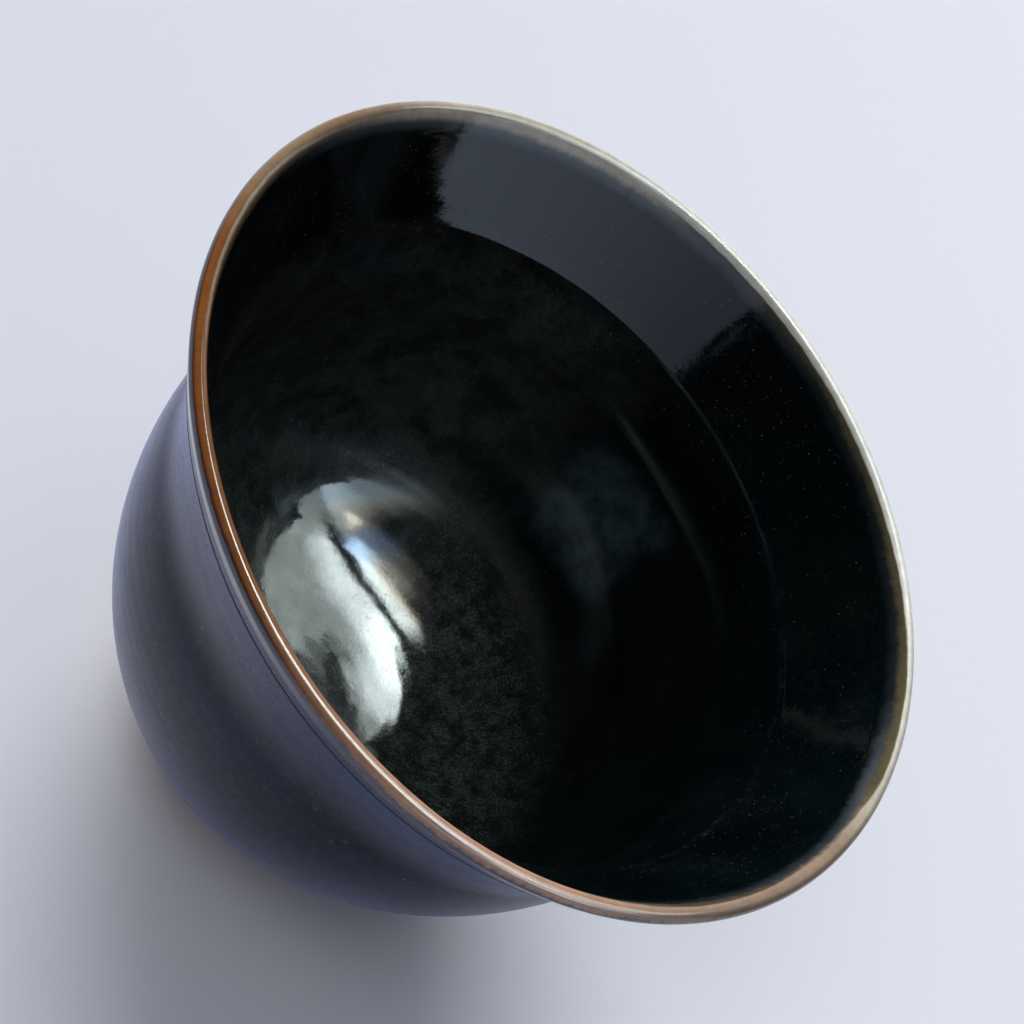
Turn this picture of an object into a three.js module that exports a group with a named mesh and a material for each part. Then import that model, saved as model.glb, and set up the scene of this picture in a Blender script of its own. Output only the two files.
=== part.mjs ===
// A deep thrown stoneware bowl with a flared lip, standing on a turned foot ring.
// Millimetres, +Z up along the bowl's axis, origin at the centre of the foot ring's underside.
import * as THREE from "three";

// The bowl as a whole
const bowlHeight = 88; // underside of the foot ring to the top of the lip
const lipRadius = 63; // axis to the outermost point of the lip
const bellyRadius = 50.4; // axis to the outside of the wall where the belly is widest
const bellyDepth = 31; // the same place, below the outermost circle of the lip
const baseRadius = 26.6; // outside of the wall where it comes down to the base

// The wall
const wallThickness = 3; // at the belly, both glazes included
const baseThickness = 4.2; // in the middle of the floor, inner glaze included
const lipThickness = 2.4; // the lip is a full round of this width
const glazeThickness = 0.5;

// The flare between the belly and the lip
const neckRise = 9; // how far the outside goes straight up before it starts to lean out
const flareReach = 11; // how far the outside runs straight down from the lip
const creaseDepth = 16; // the ridge inside, below the outermost circle of the lip
const creaseWall = 4; // thickness of the wall at the ridge, both glazes included
const creaseDrop = 10.3; // how far below the ridge the inside has turned upright
const flareInsideReach = 7; // how far the inside runs straight down from the lip

// The edges of the coats
const glazeLine = 4; // height of the bare clay between the base and the outer glaze
const rollWidth = 1.4; // height of the thick roll where the outer glaze ends
const rollThickness = 0.9;
const lipCoatDrop = 2.6; // how far the brown coat comes down each side of the lip

// The foot ring
const footHeight = 5.6;
const baseBevel = 0.6; // turned edge of the base
const footInset = 1.6; // from the bowl's outside at the base in to the ring
const footWidth = 5.8; // width of the ring where it meets the base
const footTaper = 0.7; // how much each side of the ring draws in towards the ground
const footRound = 0.8; // worn bevel along both edges of the standing face

// Shares that shape the curves
const lipLeanShare = 0.3; // of a right angle, between the wall at the lip and the axis
const bellyRoundShare = 1.87; // 2 would make the outside of the belly a true ellipse
const insideRoundShare = 2.4; // a higher value makes the inside fuller near its floor

// How finely the curves are faceted
const segmentsRound = 48;
const bellyFacet = 8.3; // longest facet up the belly, outside and inside
const flareFacet = 6.5; // longest facet up the neck, the flare and below the ridge
const edgeFacet = 0.65; // longest facet round the lip and the roll

// Places that follow from the sizes above
const rightAngle = Math.PI / 2;
const lipLean = lipLeanShare * rightAngle;
const lipCentreRadius = lipRadius - lipThickness / 2;
const lipCentreHeight = bowlHeight - lipThickness / 2;
const lipCoatHeight = lipCentreHeight - lipCoatDrop;
const bellyHeight = lipCentreHeight - bellyDepth;
const creaseHeight = lipCentreHeight - creaseDepth;
const insideRadius = bellyRadius - wallThickness;
const floorHeight = footHeight + baseThickness;
const glazeLineHeight = footHeight + glazeLine;

const point = (radius, height) => new THREE.Vector2(radius, height);

// A direction in the plane of the profile, at an angle up from straight outwards.
const direction = (angle) => point(Math.cos(angle), Math.sin(angle));

// Whole number of facets that keeps each within a length.
const facetCount = (length, longest) => Math.ceil(length / longest);

// Evenly spaced points along a curve of the flare, both ends included.
const alongFlare = (curve) => curve.getSpacedPoints(facetCount(curve.getLength(), flareFacet));

// Radius of a rounded body that is widest at one level and closes at a drop below it.
function roundedRadius(widest, drop, below, roundShare) {
  const share = Math.min(below / drop, 1);
  return widest * (1 - share ** roundShare) ** (1 / roundShare);
}

// Drop at which the outside would close if it went on past the edge of the base.
function outsideDrop() {
  const share = (1 - (baseRadius / bellyRadius) ** bellyRoundShare) ** (1 / bellyRoundShare);
  return (bellyHeight - footHeight) / share;
}

// Outside of the belly between two heights, without its upper end.
function bellyOutside(fromHeight, toHeight) {
  const drop = outsideDrop();
  const angleAt = (height) => Math.asin((bellyHeight - height) / drop);
  const pointAt = (angle) => {
    const below = drop * Math.sin(angle);
    return point(roundedRadius(bellyRadius, drop, below, bellyRoundShare), bellyHeight - below);
  };
  const low = angleAt(fromHeight);
  const high = angleAt(toHeight);
  const steps = facetCount(pointAt(low).distanceTo(pointAt(high)), bellyFacet);
  return Array.from({ length: steps }, (_, step) => {
    return pointAt(THREE.MathUtils.lerp(low, high, step / steps));
  });
}

// Where a straight side of the flare meets the full round of the lip, outside (+1) or inside (-1).
function lipTangent(side) {
  const centre = point(lipCentreRadius, lipCentreHeight);
  return centre.addScaledVector(direction(-lipLean), (side * lipThickness) / 2);
}

// A point reached by going down the wall from the lip.
function downTheFlare(from, distance) {
  return from.clone().addScaledVector(direction(rightAngle - lipLean), -distance);
}

// Outside of the neck, upright at the belly and leaning out at the lip.
function neckOutside() {
  const top = lipTangent(1);
  const curve = new THREE.CubicBezierCurve(
    point(bellyRadius, bellyHeight),
    point(bellyRadius, bellyHeight + neckRise),
    downTheFlare(top, flareReach),
    top,
  );
  return alongFlare(curve);
}

// The full round of the lip, from its outermost point over the top, without its two ends.
function lipRound() {
  const radius = lipThickness / 2;
  const perQuarter = facetCount(rightAngle * radius, edgeFacet);
  return Array.from({ length: 2 * perQuarter }, (_, step) => {
    const around = direction((rightAngle * step) / perQuarter);
    return point(lipCentreRadius, lipCentreHeight).addScaledVector(around, radius);
  });
}

// Inside of the flare, nearly straight from the lip down to the ridge.
function flareInside(ridge) {
  const top = lipTangent(-1);
  return alongFlare(new THREE.QuadraticBezierCurve(top, downTheFlare(top, flareInsideReach), ridge));
}

// Inside of the belly: below the ridge it turns upright, then rounds in to the middle of the floor.
function bellyInside(ridge) {
  const upper = new THREE.QuadraticBezierCurve(
    ridge,
    point(insideRadius, creaseHeight - creaseDrop),
    point(insideRadius, bellyHeight),
  );
  const drop = bellyHeight - floorHeight;
  const steps = facetCount(Math.hypot(insideRadius, drop), bellyFacet);
  const lower = Array.from({ length: steps }, (_, step) => {
    const below = drop * Math.sin((rightAngle * (step + 1)) / steps);
    return point(roundedRadius(insideRadius, drop, below, insideRoundShare), bellyHeight - below);
  });
  return [...alongFlare(upper).slice(1), ...lower];
}

// A run of points with one more where it crosses a height, and the index of that one.
function withEdge(run, height) {
  const before = run.findIndex((here, index) => {
    const next = run[index + 1];
    return next !== undefined && (here.y - height) * (next.y - height) <= 0;
  });
  const share = (height - run[before].y) / (run[before + 1].y - run[before].y);
  const edgePoint = run[before].clone().lerp(run[before + 1], share);
  return { points: [...run.slice(0, before + 1), edgePoint, ...run.slice(before + 1)], edge: before + 1 };
}

// Moves a profile square to itself, to the left of its direction of travel.
function offsetProfile(profile, distance) {
  return profile.map((here, index) => {
    const before = profile[index - 1] ?? here;
    const after = profile[index + 1] ?? here;
    const arriving = here.clone().sub(before).normalize();
    const leaving = after.clone().sub(here).normalize();
    const middle = arriving.clone().add(leaving).normalize();
    const stretch = Math.max(middle.dot(arriving), middle.dot(leaving));
    return here.clone().addScaledVector(point(-middle.y, middle.x), distance / stretch);
  });
}

// The same profile with its last point set exactly on the axis.
function endOnAxis(profile) {
  const last = profile[profile.length - 1];
  return [...profile.slice(0, -1), point(0, last.y)];
}

// The ridge inside lies one thickness of the wall in from the outside at its own height.
function ridgePoint(outsideRun) {
  const level = withEdge(outsideRun, creaseHeight);
  return point(level.points[level.edge].x - creaseWall, creaseHeight);
}

// The finished surface runs up the outside, over the lip, and down to the middle of the floor.
const bareClay = bellyOutside(footHeight, glazeLineHeight);
const outsideRun = [...bareClay, ...bellyOutside(glazeLineHeight, bellyHeight), ...neckOutside()];
const ridge = ridgePoint(outsideRun);
const outside = withEdge(outsideRun, lipCoatHeight);
const inside = withEdge([...flareInside(ridge), ...bellyInside(ridge)], lipCoatHeight);
const surface = [...outside.points, ...lipRound(), ...inside.points];
const outerEdge = outside.edge;
const innerEdge = outside.points.length + lipRound().length + inside.edge;

// The clay lies one coat behind that surface, also where it is bare.
const clayFace = endOnAxis(offsetProfile(surface, glazeThickness));

// Closed profile of a coat between the surface and the clay, from one point of both to another.
function coatProfile(first, last) {
  const front = surface.slice(first, last + 1);
  const back = clayFace.slice(first, last + 1).reverse();
  return [...front, ...back, front[0]];
}

// A body of revolution about +Z from a profile of radii and heights.
function turnedMesh(name, profile, colour, roughness) {
  const geometry = new THREE.LatheGeometry(profile, segmentsRound);
  geometry.rotateX(rightAngle);
  const material = new THREE.MeshStandardMaterial({ color: colour, roughness, metalness: 0 });
  const mesh = new THREE.Mesh(geometry, material);
  mesh.name = name;
  return mesh;
}

function clayBody() {
  const baseEdge = clayFace[0].x - baseBevel;
  const profile = [point(0, footHeight), point(baseEdge, footHeight), ...clayFace];
  return turnedMesh("clay_body", profile, 0x8a6a4c, 0.85);
}

// The ring is luted flat against the underside of the base.
function footRing() {
  const outer = baseRadius - footInset;
  const inner = outer - footWidth;
  const profile = [
    point(inner, footHeight),
    point(inner + footTaper, footRound),
    point(inner + footTaper + footRound, 0),
    point(outer - footTaper - footRound, 0),
    point(outer - footTaper, footRound),
    point(outer, footHeight),
  ];
  return turnedMesh("foot_ring", [...profile, profile[0]], 0x7d5b3e, 0.9);
}

// The outer coat ends below in a thick rounded roll on the clay.
function outerGlaze() {
  const lowest = bareClay.length;
  const start = clayFace[lowest];
  const up = clayFace[lowest + 1].clone().sub(start).normalize();
  const out = point(up.y, -up.x);
  const steps = facetCount(Math.hypot(rollWidth, rollThickness), edgeFacet);
  const roll = Array.from({ length: steps }, (_, step) => {
    const angle = (rightAngle * (step + 1)) / steps;
    const along = start.clone().addScaledVector(up, rollWidth * (1 - Math.cos(angle)));
    return along.addScaledVector(out, rollThickness * Math.sin(angle));
  });
  const coat = coatProfile(lowest + 1, outerEdge).slice(0, -1);
  return turnedMesh("outer_glaze", [start, ...roll, ...coat, start], 0x343744, 0.25);
}

function lipGlaze() {
  return turnedMesh("lip_glaze", coatProfile(outerEdge, innerEdge), 0x8d5a34, 0.35);
}

function innerGlaze() {
  return turnedMesh("inner_glaze", coatProfile(innerEdge, surface.length - 1), 0x0b1113, 0.15);
}

const bowl = new THREE.Group();
bowl.add(clayBody(), footRing(), outerGlaze(), innerGlaze(), lipGlaze());

export default bowl;
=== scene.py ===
"""A deep thrown stoneware bowl with a flared lip, dark glazed, on a pale floor in soft light.

The clay, the foot ring and the three glaze coats are fine surfaces of revolution, worked out with numpy
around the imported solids: in metres, +Z up along the bowl's axis, the origin under the foot ring's middle.
"""

import math

import bpy
import numpy as np
from bpy.props import FloatProperty, FloatVectorProperty, IntProperty, PointerProperty
from mathutils import Matrix, Vector


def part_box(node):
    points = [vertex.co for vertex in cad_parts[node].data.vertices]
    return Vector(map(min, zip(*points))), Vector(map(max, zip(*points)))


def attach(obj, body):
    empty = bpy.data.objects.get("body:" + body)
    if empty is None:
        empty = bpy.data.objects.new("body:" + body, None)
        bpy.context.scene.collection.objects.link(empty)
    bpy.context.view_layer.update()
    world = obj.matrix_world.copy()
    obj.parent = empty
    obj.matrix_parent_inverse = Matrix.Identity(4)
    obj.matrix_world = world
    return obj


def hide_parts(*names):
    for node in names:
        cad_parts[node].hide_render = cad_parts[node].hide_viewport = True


bl_info = {
    "name": "Glazed stoneware bowl",
    "version": (1, 0, 0),
    "blender": (4, 5, 0),
    "location": "3D View > Sidebar > Bowl",
    "description": "Builds a thrown stoneware bowl with its glaze coats, and the stage it stands on",
    "category": "Add Mesh",
}

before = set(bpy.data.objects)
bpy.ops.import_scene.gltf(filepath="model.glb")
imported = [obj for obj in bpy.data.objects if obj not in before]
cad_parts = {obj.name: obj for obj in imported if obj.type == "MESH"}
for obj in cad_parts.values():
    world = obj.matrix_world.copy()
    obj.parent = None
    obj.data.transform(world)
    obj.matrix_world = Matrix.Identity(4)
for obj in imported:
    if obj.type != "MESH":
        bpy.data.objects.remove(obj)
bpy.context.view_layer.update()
LIP_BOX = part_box("lip_glaze")
FOOT_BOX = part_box("foot_ring")
FULL_TURN = 2 * math.pi
MM = 0.001


def length(name, description, default):
    """A size in metres that the user can change."""
    return FloatProperty(
        name=name,
        description=description,
        default=default,
        min=0,
        unit="LENGTH",
        subtype="DISTANCE",
        precision=5,
    )


def share(name, description, default):
    """A plain number without a unit."""
    return FloatProperty(name=name, description=description, default=default, min=0, precision=3)


def angle(name, description, degrees):
    """An angle, given in degrees and kept in radians."""
    return FloatProperty(name=name, description=description, default=math.radians(degrees), subtype="ANGLE")


def colour(name, description, default):
    """A colour in scene-linear values."""
    return FloatVectorProperty(
        name=name, description=description, default=default, size=3, min=0, max=1, subtype="COLOR"
    )


class BowlShape(bpy.types.PropertyGroup):
    """Sizes of the bowl, the same as those of its solids."""

    height: length("Height", "Standing face to the top of the lip", LIP_BOX[1].z)
    lip_radius: length("Lip radius", "Axis to the outermost point of the lip", LIP_BOX[1].x)
    belly_radius: length("Belly radius", "Axis to the outside where the belly is widest", 50.4 * MM)
    belly_depth: length("Belly depth", "Widest belly below the lip's outermost circle", 31 * MM)
    base_radius: length("Base radius", "Outside of the wall where it meets the base", 26.6 * MM)
    wall: length("Wall", "Thickness at the belly, both glazes included", 3 * MM)
    floor_thickness: length("Floor thickness", "Clay and inner glaze in the middle of the floor", 4.2 * MM)
    lip_thickness: length("Lip thickness", "Width of the full round of the lip", 2.4 * MM)
    glaze: length("Glaze", "Thickness of each glaze coat", 0.5 * MM)
    neck_rise: length("Neck rise", "Upright stretch above the widest belly", 9 * MM)
    flare_reach: length("Flare reach", "Straight stretch down the outside from the lip", 11 * MM)
    ridge_depth: length("Ridge depth", "Inside ridge below the lip's outermost circle", 16 * MM)
    ridge_wall: length("Ridge wall", "Thickness of the wall at the ridge", 4 * MM)
    ridge_drop: length("Ridge drop", "From the ridge down to the upright inside", 10.3 * MM)
    flare_inside_reach: length("Inside reach", "Straight stretch down the inside from the lip", 7 * MM)
    glaze_line: length("Glaze line", "Bare clay between the base and the outer glaze", 4 * MM)
    roll_width: length("Roll width", "Height of the thick roll at the glaze line", 1.4 * MM)
    roll_thickness: length("Roll thickness", "Thickness of that roll", 0.9 * MM)
    lip_coat_drop: length("Lip coat drop", "How far the lip coat comes down each side", 2.6 * MM)
    foot_height: length("Foot height", "Height of the foot ring", FOOT_BOX[1].z)
    foot_radius: length("Foot radius", "Outside of the ring where it meets the base", FOOT_BOX[1].x)
    foot_width: length("Foot width", "Width of the ring where it meets the base", 5.8 * MM)
    foot_taper: length("Foot taper", "How much each side draws in towards the ground", 0.7 * MM)
    foot_round: length("Foot round", "Worn bevel along the standing face", 0.8 * MM)
    base_bevel: length("Base bevel", "Turned edge of the base", 0.6 * MM)
    lip_lean: share("Lip lean", "Share of a right angle between the wall at the lip and the axis", 0.3)
    belly_round: share("Belly roundness", "2 would make the outside a true ellipse", 1.87)
    inside_round: share("Inside roundness", "A higher value is fuller near the floor", 2.4)
    segments: IntProperty(name="Segments", description="Steps round the axis", default=420, min=24, max=720)


class ThrowingMarks(bpy.types.PropertyGroup):
    """What the potter's hands and tools left in the surfaces."""

    ring_pitch: length("Ring pitch", "Height between two throwing rings", 3.3 * MM)
    ring_depth: length("Ring depth", "Half the depth of a throwing ring", 0.011 * MM)
    out_of_round: length("Out of round", "How far the lip is drawn in on one side", 0.5 * MM)
    lip_wave: length("Lip wave", "How far the lip dips in its low places", 0.07 * MM)
    line_depth: length("Line below the lip", "Incised line below the lip's outermost circle", 5.8 * MM)
    line_width: length("Line width", "Half width of the incised line", 0.17 * MM)
    line_cut: length("Line cut", "Depth of the incised line", 0.16 * MM)
    shoulder_depth: length("Shoulder depth", "Edge between flare and belly, below the lip", 16.6 * MM)
    shoulder_height: length("Shoulder height", "How far that edge stands out", 0.16 * MM)
    shoulder_width: length("Shoulder width", "Height over which that edge rises", 0.7 * MM)
    shoulder_fade: length("Shoulder fade", "How far above the edge the flare stays raised", 4 * MM)
    well_radius: length("Well radius", "Axis to the fine ridge around the well inside", 37.3 * MM)
    well_height: length("Well ridge", "How far that ridge stands up", 0.03 * MM)
    well_width: length("Well ridge width", "Half width of that ridge", 0.35 * MM)
    glaze_line_wave: length("Glaze line wave", "How unevenly the outer glaze ends", 0.55 * MM)


class GlazeColours(bpy.types.PropertyGroup):
    """Colours of the glazes and the clay."""

    slate: colour("Slate", "Bluish slate of the outer glaze", (0.0095, 0.0105, 0.036))
    slate_dark: colour("Dark slate", "Darker clouds in the outer glaze", (0.0042, 0.0048, 0.0125))
    slate_grey: colour("Flare grey", "Thinner, greyer glaze on the flare", (0.028, 0.031, 0.062))
    black: colour("Black", "Near-black green of the inner glaze", (0.0004, 0.0017, 0.0022))
    black_green: colour("Green black", "Lighter clouds in the inner glaze", (0.0014, 0.0036, 0.0038))
    rust: colour("Rust", "Brown of the lip coat", (0.215, 0.076, 0.021))
    umber: colour("Umber", "Dark brown where the rust thins out", (0.045, 0.014, 0.007))
    amber: colour("Amber", "Lip coat between rust and straw", (0.26, 0.18, 0.105))
    rose: colour("Rose brown", "Lip coat where the rust fades to sand", (0.46, 0.27, 0.18))
    sand: colour("Sand", "Lip coat between brown and cream", (0.30, 0.22, 0.155))
    # Cream is partly painted highlight: it is lighter than the glaze alone and stands in for the bright
    # reflection along the pale side of the lip.
    cream_with_highlight: colour("Cream", "Pale side of the lip", (0.80, 0.80, 0.71))
    straw: colour("Straw", "Lip coat where it is pale all over", (0.55, 0.51, 0.40))
    olive: colour("Olive", "Inner edge of the lip on its pale side", (0.100, 0.084, 0.046))
    fringe: colour("Fringe", "Milky blue where two glazes run together", (0.16, 0.19, 0.22))
    speck: colour("Specks", "Pale pin-points in the glazes", (0.20, 0.20, 0.17))
    dust: colour("Dust", "Dust and fine scratches on the glazes", (0.135, 0.155, 0.155))
    # Painted reflection: colour of the milky patch on the far wall inside, which stands in for a dim second
    # reflection of the window.
    painted_reflection: colour("Bloom", "Milky film in the inner glaze", (0.05, 0.085, 0.105))
    clay: colour("Clay", "Bare fired stoneware", (0.34, 0.225, 0.14))
    clay_dark: colour("Dark clay", "Iron-rich patches of the clay", (0.15, 0.085, 0.05))


class StageLook(bpy.types.PropertyGroup):
    """Floor, light and camera."""

    floor_colour: colour("Floor", "Colour of the pale floor", (0.70, 0.72, 0.80))
    # Painted light: the floor is blended to this lighter colour towards one side, standing in for brighter
    # light there.
    floor_painted_light: colour("Lighter floor", "Colour of the floor away from the key light", (0.815, 0.84, 0.90))
    sky_colour: colour("Surroundings", "Colour of the surroundings as light", (0.70, 0.71, 0.89))
    mirrored_colour: colour("Mirrored surroundings", "Colour of the same in gloss", (0.66, 0.78, 1.0))
    ambient: share("Ambient", "Share of the surroundings' brightness that falls as light", 0.17)
    window_radiance: share("Window", "Brightness of the window in reflections", 1.0)
    window_height: length("Window height", "Height of the window above the floor", 1.5)
    opening_middle: angle("Opening", "Middle of the curtain's opening, from the front to the right", 59.5)
    opening_half: angle("Half opening", "Half the width of the curtain's opening", 46.5)
    key_share: share("Key light", "Share of the floor's light that comes from the lamp behind", 0.66)
    fill_share: share("Fill light", "Share of the floor's light that comes from the lamp in front", 0.18)
    top_share: share("Top light", "Share of the floor's light that comes from the lamp overhead", 0.08)
    lamp_distance: length("Lamp distance", "From the bowl to each lamp", 9.0)
    curtain_radius: length("Curtain radius", "Distance of the dark curtain", 1.15)
    lens: FloatProperty(name="Lens", description="Focal length", default=77.34, min=1, unit="CAMERA")
    roll: angle("Roll", "Turn of the camera about its view", 54.48)
    camera_back: length("Camera back", "Distance of the camera in front of the axis", 0.22811)
    camera_height: length("Camera height", "Height of the camera above the floor", 0.29572)


# Profiles: runs of radius and height in the plane through the axis

CURVE_POINTS = 200
BELLY_POINTS = 400
NECK_POINTS = 300
LIP_POINTS = 60
INSIDE_POINTS = 600


def bezier(points, count=CURVE_POINTS):
    """Bezier curve: each control point weighted by its Bernstein polynomial."""
    points = np.asarray(points, float)
    order = len(points) - 1
    t = np.linspace(0, 1, count)[:, None]
    weights = [math.comb(order, k) * t**k * (1 - t) ** (order - k) for k in range(order + 1)]
    return sum(weight * point for weight, point in zip(weights, points))


def rounded_radius(widest, drop, below, roundness):
    """Superellipse: widest times (1 - (below / drop) ^ n) ^ (1 / n)."""
    return widest * (1 - np.clip(below / drop, 0, 1) ** roundness) ** (1 / roundness)


class Skin:
    """The finished surface as one run up the outside, over the lip and down to the middle of the floor."""

    def __init__(self, shape):
        self.shape = shape
        lean = shape.lip_lean * math.pi / 2
        self.lip_round = shape.lip_thickness / 2
        self.lip_centre = np.array([shape.lip_radius - self.lip_round, shape.height - self.lip_round])
        self.belly_height = self.lip_centre[1] - shape.belly_depth
        self.down = -np.array([math.sin(lean), math.cos(lean)])
        self.across = np.array([math.cos(lean), -math.sin(lean)])
        belly = self.belly_outside()
        neck = self.neck_outside()
        ridge = self.ridge_point(np.vstack([belly, neck]))
        lip = self.lip_arc(lean)
        flare = self.flare_inside(ridge)
        inside = self.belly_inside(ridge)
        points = np.vstack([belly[:-1], neck[:-1], lip[:-1], flare[:-1], inside])
        steps = np.hypot(*np.diff(points, axis=0).T)
        self.along = np.concatenate([[0], np.cumsum(steps)])
        self.points = points
        crest = int(np.argmax(points[:, 1]))
        self.crest = self.along[crest]
        self.outer_heights = points[: crest + 1, 1]
        self.inner_heights = points[crest:, 1]
        self.crest_index = crest
        slope = np.gradient(points, self.along, axis=0)
        slope /= np.hypot(*slope.T)[:, None]
        slope[-1] = (-1, 0)
        self.normals = np.stack([slope[:, 1], -slope[:, 0]], axis=1)

    def belly_outside(self):
        """Superellipse from the base up to the widest belly, in even steps of angle."""
        s = self.shape
        ratio = rounded_radius(1, 1, s.base_radius / s.belly_radius, s.belly_round)
        drop = (self.belly_height - s.foot_height) / ratio
        angles = np.linspace(math.asin(ratio), 0, BELLY_POINTS)
        below = drop * np.sin(angles)
        radius = rounded_radius(s.belly_radius, drop, below, s.belly_round)
        return np.stack([radius, self.belly_height - below], 1)

    def neck_outside(self):
        """Cubic Bezier from upright at the belly to the lean of the lip."""
        s = self.shape
        top = self.lip_centre + self.across * self.lip_round
        belly = (s.belly_radius, self.belly_height)
        above = (s.belly_radius, self.belly_height + s.neck_rise)
        return bezier([belly, above, top + self.down * s.flare_reach, top], NECK_POINTS)

    def lip_arc(self, lean):
        """Full round of the lip, half a circle between the two sides of the leaning wall."""
        angles = np.linspace(-lean, math.pi - lean, LIP_POINTS)
        return self.lip_centre + self.lip_round * np.stack([np.cos(angles), np.sin(angles)], 1)

    def ridge_point(self, outside):
        """One thickness of the wall in from the outside, at the ridge's own height."""
        height = self.lip_centre[1] - self.shape.ridge_depth
        return np.array([np.interp(height, outside[:, 1], outside[:, 0]) - self.shape.ridge_wall, height])

    def flare_inside(self, ridge):
        """Quadratic Bezier from the lip down to the ridge."""
        top = self.lip_centre - self.across * self.lip_round
        return bezier([top, top + self.down * self.shape.flare_inside_reach, ridge])

    def belly_inside(self, ridge):
        """Quadratic Bezier below the ridge, then a superellipse down to the middle of the floor."""
        s = self.shape
        radius = s.belly_radius - s.wall
        upper = bezier([ridge, (radius, ridge[1] - s.ridge_drop), (radius, self.belly_height)])
        drop = self.belly_height - s.foot_height - s.floor_thickness
        below = drop * np.sin(np.linspace(0, math.pi / 2, INSIDE_POINTS))
        lower_radius = rounded_radius(radius, drop, below, s.inside_round)
        lower = np.stack([lower_radius, self.belly_height - below], 1)
        return np.vstack([upper[:-1], lower])

    def at(self, along):
        """Radius and height of the surface at distances along it."""
        return tuple(np.interp(along, self.along, column) for column in self.points.T)

    def normal_at(self, along):
        """The outward direction there, as its radius and height."""
        return tuple(np.interp(along, self.along, column) for column in self.normals.T)

    def behind(self, along, depth):
        """A point behind the surface, square to it; on the axis it stays on the axis."""
        radius, height = self.at(along)
        out, up = self.normal_at(along)
        return np.where(radius > 0, np.maximum(radius - depth * out, 0), 0), height - depth * up

    def outside_at(self, height):
        """Distance along the surface where its outside passes a height."""
        return float(np.interp(height, self.outer_heights, self.along[: self.crest_index + 1]))

    def inside_at(self, height):
        """Distance along the surface where its inside passes a height."""
        return float(np.interp(height, self.inner_heights[::-1], self.along[self.crest_index :][::-1]))

    def coat_edges(self):
        """Distances along the surface to the two edges of the lip coat, outside and inside."""
        level = self.lip_centre[1] - self.shape.lip_coat_drop
        return self.outside_at(level), self.inside_at(level)

    def glaze_line(self):
        """Distance along the surface to the lower edge of the outer glaze."""
        return self.outside_at(self.shape.foot_height + self.shape.glaze_line)

    @property
    def end(self):
        """Distance along the surface to the middle of the floor."""
        return float(self.along[-1])


def spaced(start, stop, step):
    """Evenly spaced values from start to stop, both included, no further apart than step."""
    return np.linspace(start, stop, max(2, int(math.ceil(abs(stop - start) / step)) + 1))


def hump(value, centre, half_width):
    """A smooth bump of height 1: exp of minus the squared distance in half widths."""
    return np.exp(-(((value - centre) / half_width) ** 2))


def smooth_step(value):
    """0 below 0, 1 above 1, and 3 v^2 - 2 v^3 between."""
    value = np.clip(value, 0, 1)
    return value * value * (3 - 2 * value)


DRAWN_SIDE = math.radians(116)


def settle(radius, height, theta, shape, marks):
    """Draws the lip in on one side, as a thrown rim settles, and lets it wave, less towards the foot.

    The pull is a smooth lobe around one direction, the eighth power of (1 + cos) / 2, with a slight ripple
    of three. It grows with the fourth power of the height, and the wave with the sixth.
    """
    rise = np.clip(height / shape.height, 0, 1)
    lobe = (0.5 + 0.5 * np.cos(theta + DRAWN_SIDE)) ** 8
    ripple = 0.06 * (1 + np.cos(3 * theta - 0.4))
    squeeze = marks.out_of_round * (lobe + ripple) * rise**4
    dips = 0.5 + 0.35 * np.cos(2 * theta - 0.5) + 0.15 * np.cos(5 * theta + 1.1)
    wave = marks.lip_wave * dips * rise**6
    return radius * (1 - squeeze / shape.lip_radius), height - wave


def throwing_rings(along, theta, marks):
    """Spiral ripple: sine of distance over pitch plus the angle, as strong as two slow waves let it be."""
    phase = FULL_TURN * along / marks.ring_pitch + theta
    slow = 0.25 * np.sin(along / (7.3 * MM) + 2 * theta)
    slower = 0.15 * np.sin(3 * theta - along / (4.1 * MM))
    return marks.ring_depth * (0.6 + slow + slower) * np.sin(phase + 0.7 * np.sin(phase / 2.7))


# Meshes


SHARP_ANGLE = math.radians(48)
ON_POLE = 1e-9


def turned_faces(index, closed):
    """Quads, and triangles at the poles, between rows of point numbers."""
    above = np.roll(index, -1, axis=0) if closed else index[1:]
    below = index if closed else index[:-1]
    corners = np.stack([below, np.roll(below, -1, axis=1), np.roll(above, -1, axis=1), above], axis=-1)
    corners = corners.reshape(-1, 4)
    low_pole = corners[:, 0] == corners[:, 1]
    high_pole = corners[:, 2] == corners[:, 3]
    quads = corners[~low_pole & ~high_pole]
    return quads, np.vstack([corners[high_pole][:, :3], corners[low_pole][:, 1:]])


def facing_out(points, quads, tris):
    """The same faces, all turned round where the volume that they enclose is negative."""
    fan = np.vstack([quads[:, [0, 1, 2]], quads[:, [0, 2, 3]], tris])
    a, b, c = (points[fan[:, corner]] for corner in range(3))
    if np.einsum("ij,ij->i", a, np.cross(b, c)).sum() < 0:
        return quads[:, ::-1], tris[:, ::-1]
    return quads, tris


def filled_mesh(name, points, quads, tris):
    """Mesh from arrays of points, quads and triangles."""
    mesh = bpy.data.meshes.new(name)
    mesh.vertices.add(len(points))
    mesh.vertices.foreach_set("co", points.astype(np.float32).ravel())
    loops = np.concatenate([quads.ravel(), tris.ravel()]).astype(np.int32)
    totals = np.concatenate([np.full(len(quads), 4), np.full(len(tris), 3)])
    mesh.loops.add(len(loops))
    mesh.loops.foreach_set("vertex_index", loops)
    mesh.polygons.add(len(totals))
    mesh.polygons.foreach_set("loop_start", (np.cumsum(totals) - totals).astype(np.int32))
    mesh.update(calc_edges=True)
    mesh.validate()
    return mesh


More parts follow.
